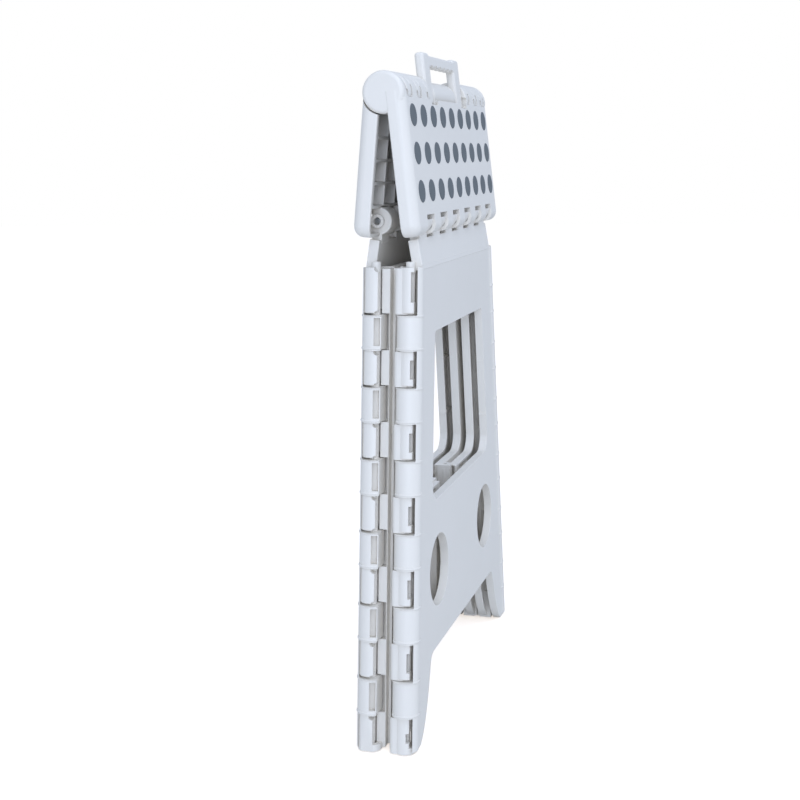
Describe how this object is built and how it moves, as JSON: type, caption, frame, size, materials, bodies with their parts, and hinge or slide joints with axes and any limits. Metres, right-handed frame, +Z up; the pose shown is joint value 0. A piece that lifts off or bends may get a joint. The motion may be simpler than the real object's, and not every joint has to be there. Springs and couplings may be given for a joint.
{
  "type": "folding step stool",
  "caption": "White plastic folding step stool, folded flat and standing upright, with grey non-slip dots on the top and a fixed carry handle.",
  "frame": {"origin": "on the floor, under the middle of the folded stool", "axes": "+Z up along the folded stool, +X along the width, -Y out of the front top half's face"},
  "size_m": [0.3198, 0.0512, 0.5211],
  "materials": {
    "white_shell": "fine satin moulded polypropylene",
    "steel_pin": "drawn steel wire",
    "grip_rubber": "matte soft-touch rubber",
    "foot_rubber": "matte rubber"
  },
  "bodies": {
    "front_leg": {"front_leg": "white_shell", "front_leg_hinge_pin": "steel_pin"},
    "front_top": {"front_top": "white_shell", "front_grip_inlay": "grip_rubber", "carry_handle": "white_shell", "centre_hinge_pin": "steel_pin"},
    "back_top": {"back_top": "white_shell", "back_grip_inlay": "grip_rubber"},
    "back_leg": {"back_leg": "white_shell", "back_leg_hinge_pin": "steel_pin"},
    "front_left_side": {"front_left_side": "white_shell", "front_left_foot_pad": "foot_rubber", "left_lower_fold_pin": "steel_pin", "left_upper_fold_pin": "steel_pin"},
    "front_right_side": {"front_right_side": "white_shell", "front_right_foot_pad": "foot_rubber"},
    "back_left_side": {"back_left_side": "white_shell", "back_left_foot_pad": "foot_rubber"},
    "back_right_side": {"back_right_side": "white_shell", "back_right_foot_pad": "foot_rubber", "right_lower_fold_pin": "steel_pin", "right_upper_fold_pin": "steel_pin"}
  },
  "joints": [
    {"name": "front_fold", "type": "hinge", "parent": "front_leg", "child": "front_top", "pos_m": [0, -0.0135, 0.391], "axis": [-1, 0, 0], "range_deg": [0, 81.65]},
    {"name": "centre_fold", "type": "hinge", "parent": "front_top", "child": "back_top", "pos_m": [0, 0, 0.4865], "axis": [1, 0, 0], "range_deg": [0, 168.8]},
    {"name": "back_fold", "type": "hinge", "parent": "back_top", "child": "back_leg", "pos_m": [0, 0.0135, 0.391], "axis": [-1, 0, 0], "range_deg": [0, 81.65]},
    {"name": "front_left_swing", "type": "hinge", "parent": "front_leg", "child": "front_left_side", "pos_m": [-0.152, -0.0135, 0], "axis": [0.1074, 0, 0.9942], "range_deg": [0, 82.5]},
    {"name": "front_right_swing", "type": "hinge", "parent": "front_leg", "child": "front_right_side", "pos_m": [0.152, -0.0135, 0], "axis": [0.1074, 0, -0.9942], "range_deg": [0, 82.5]},
    {"name": "back_left_swing", "type": "hinge", "parent": "back_leg", "child": "back_left_side", "pos_m": [-0.152, 0.0135, 0], "axis": [-0.1074, 0, -0.9942], "range_deg": [0, 82.5]},
    {"name": "back_right_swing", "type": "hinge", "parent": "back_leg", "child": "back_right_side", "pos_m": [0.152, 0.0135, 0], "axis": [-0.1074, 0, 0.9942], "range_deg": [0, 82.5]}
  ],
  "couplings": [
    {"joint": "centre_fold", "follows": "front_fold", "ratio": 2.0673},
    {"joint": "back_fold", "follows": "front_fold", "ratio": 1},
    {"joint": "front_left_swing", "follows": "front_fold", "ratio": 1.0104},
    {"joint": "front_right_swing", "follows": "front_fold", "ratio": 1.0104},
    {"joint": "back_left_swing", "follows": "front_fold", "ratio": 1.0104},
    {"joint": "back_right_swing", "follows": "front_fold", "ratio": 1.0104}
  ]
}
